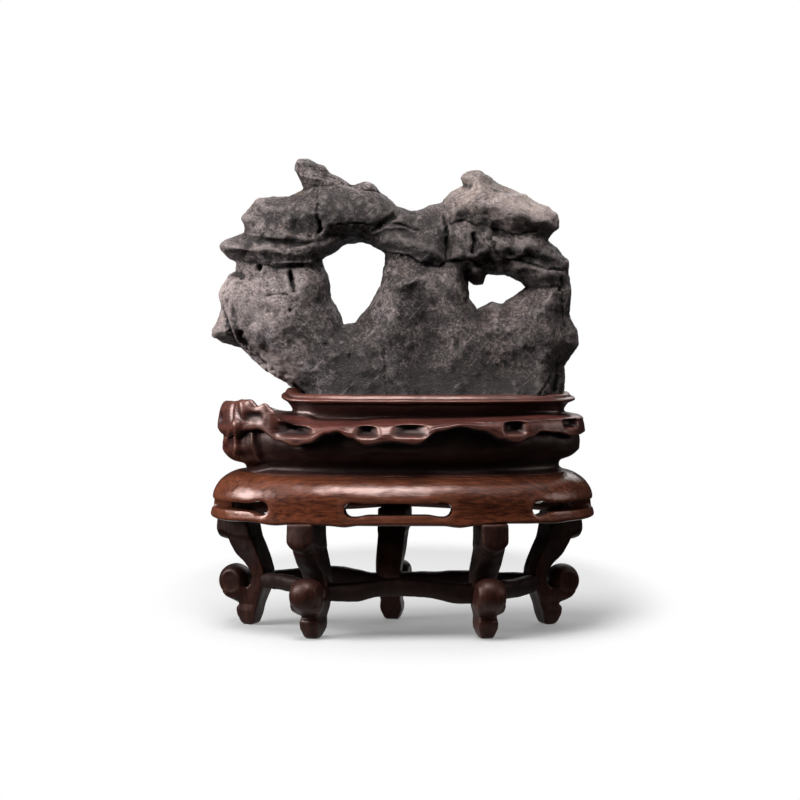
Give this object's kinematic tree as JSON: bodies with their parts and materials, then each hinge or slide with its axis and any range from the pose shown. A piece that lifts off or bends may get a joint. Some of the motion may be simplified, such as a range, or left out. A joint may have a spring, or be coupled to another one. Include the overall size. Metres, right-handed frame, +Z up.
{
  "type": "scholars rock",
  "caption": "Pierced grey scholar's stone standing upright in the socket of a carved hardwood stand with a scalloped collar, slotted apron and scroll-footed legs.",
  "frame": {"origin": "on the surface that the stand rests on, under the middle of the oval table", "axes": "+Z up, -Y towards the viewer of the stone's front, +X to the viewer's right"},
  "size_m": [0.23, 0.1199, 0.278],
  "materials": {
    "stone": "waxed natural limestone, satin",
    "carved_wood": "polished dark hardwood, satin",
    "leg_wood": "polished dark hardwood, satin"
  },
  "bodies": {
    "root": {"rock": "stone", "rock_seat": "carved_wood", "table_top": "carved_wood", "leg_front_left": "leg_wood", "leg_front_right": "leg_wood", "leg_right": "leg_wood", "leg_rear": "leg_wood", "leg_left": "leg_wood", "stretcher_front": "leg_wood", "stretcher_right": "leg_wood", "stretcher_rear_right": "leg_wood", "stretcher_rear_left": "leg_wood", "stretcher_left": "leg_wood"}
  },
  "joints": []
}
